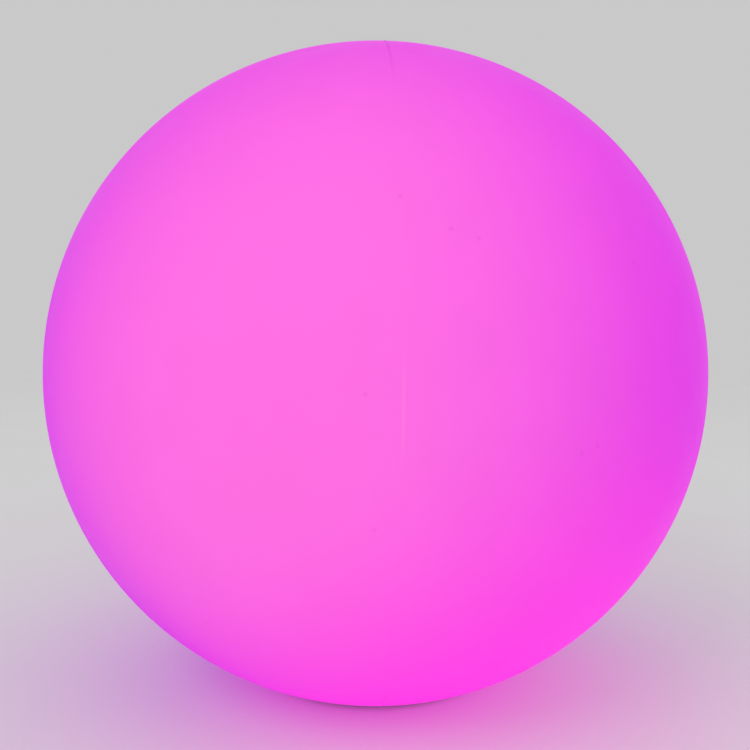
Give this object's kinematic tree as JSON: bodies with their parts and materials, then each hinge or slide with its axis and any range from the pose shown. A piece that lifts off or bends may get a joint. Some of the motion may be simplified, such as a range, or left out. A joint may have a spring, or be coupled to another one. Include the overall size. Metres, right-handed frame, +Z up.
{
  "type": "garden globe light",
  "caption": "Rechargeable garden globe light: a glowing round moulded globe that screws down over a sealed lamp base with a charging port, a push button and rubber feet.",
  "frame": {"origin": "middle of the underside, on the floor that the rubber feet stand on", "axes": "+Z up along the globe's axis, -Y towards the camera's side (front), +X to the right seen from the front"},
  "size_m": [0.4, 0.4, 0.3893],
  "materials": {
    "globe_opal": "satin opal polyethylene, lit magenta pink from inside",
    "collar_plastic": "light grey moulded plastic",
    "base_plastic": "black fine-textured moulded plastic",
    "cover_plastic": "dark grey fine-textured moulded plastic",
    "silicone": "translucent grey silicone",
    "black_rubber": "black rubber",
    "button_rubber": "mid grey soft-touch rubber",
    "steel": "stainless steel",
    "spring_steel": "spring steel strap",
    "nickel": "nickel strip",
    "jack_black": "glossy black housing",
    "lens_clear": "clear light pipe",
    "board_green": "green solder mask",
    "board_white": "white solder mask on an aluminium core",
    "chip_black": "black moulded packages",
    "ferrite": "dark grey ferrite block",
    "can_metal": "satin metal cans",
    "socket_cream": "cream nylon sockets",
    "tray_black": "black moulded tray",
    "cell_wrap": "blue shrink sleeve",
    "heat_metal": "satin aluminium sheet",
    "emitter_white": "lit emitter packages",
    "dome_frost": "frosted opal plastic, lit from inside",
    "lead_jacket": "insulated leads"
  },
  "bodies": {
    "base": {"base_housing": "base_plastic", "rubber_feet": "black_rubber", "bottom_cover": "cover_plastic", "cover_gasket": "black_rubber", "cover_screws": "steel", "flap_pin": "steel", "charging_jack": "jack_black", "jack_gasket": "black_rubber", "push_switch": "chip_black", "status_lens": "lens_clear", "status_lamp": "socket_cream", "breather_vent": "cover_plastic", "control_board": "board_green", "board_screws": "steel", "controller_chip": "chip_black", "lamp_drivers": "chip_black", "charge_coil": "ferrite", "radio_module": "can_metal", "filter_capacitors": "can_metal", "lamp_socket": "socket_cream", "battery_socket": "socket_cream", "battery_tray": "tray_black", "rear_cell": "cell_wrap", "front_cell": "cell_wrap", "cell_links": "nickel", "battery_strap": "spring_steel", "strap_screws": "steel", "heat_plate": "heat_metal", "lamp_board": "board_white", "lamp_board_screws": "steel", "lamp_emitters": "emitter_white", "diffuser_dome": "dome_frost", "dome_seal": "silicone", "dome_clamp_ring": "base_plastic", "clamp_screws": "steel", "lamp_leads": "lead_jacket", "battery_leads": "lead_jacket"},
    "seal": {"neck_gasket": "silicone"},
    "globe": {"globe_shell": "globe_opal", "neck_collar": "collar_plastic"},
    "button": {"power_button": "button_rubber", "button_ring": "black_rubber", "switch_plunger": "socket_cream"},
    "flap": {"port_flap": "button_rubber"}
  },
  "joints": [
    {"name": "globe_turn", "type": "hinge", "parent": "base", "child": "seal", "pos_m": [0, 0, 0.0083], "axis": [0, 0, 1], "range_deg": [0, 900]},
    {"name": "globe_lift", "type": "slide", "parent": "seal", "child": "globe", "axis": [0, 0, 1], "range_m": [0, 0.0151]},
    {"name": "power_button_press", "type": "slide", "parent": "base", "child": "button", "axis": [0, 0, 1], "range_m": [0, 0.0015], "stiffness_N_per_m": 600, "springref_m": -0.001},
    {"name": "port_flap_swing", "type": "hinge", "parent": "base", "child": "flap", "pos_m": [-0.037, 0, 0.00475], "axis": [0, 1, 0], "range_deg": [0, 100]}
  ],
  "couplings": [
    {"joint": "globe_lift", "follows": "globe_turn", "m_per_rad": 0.00095493}
  ]
}
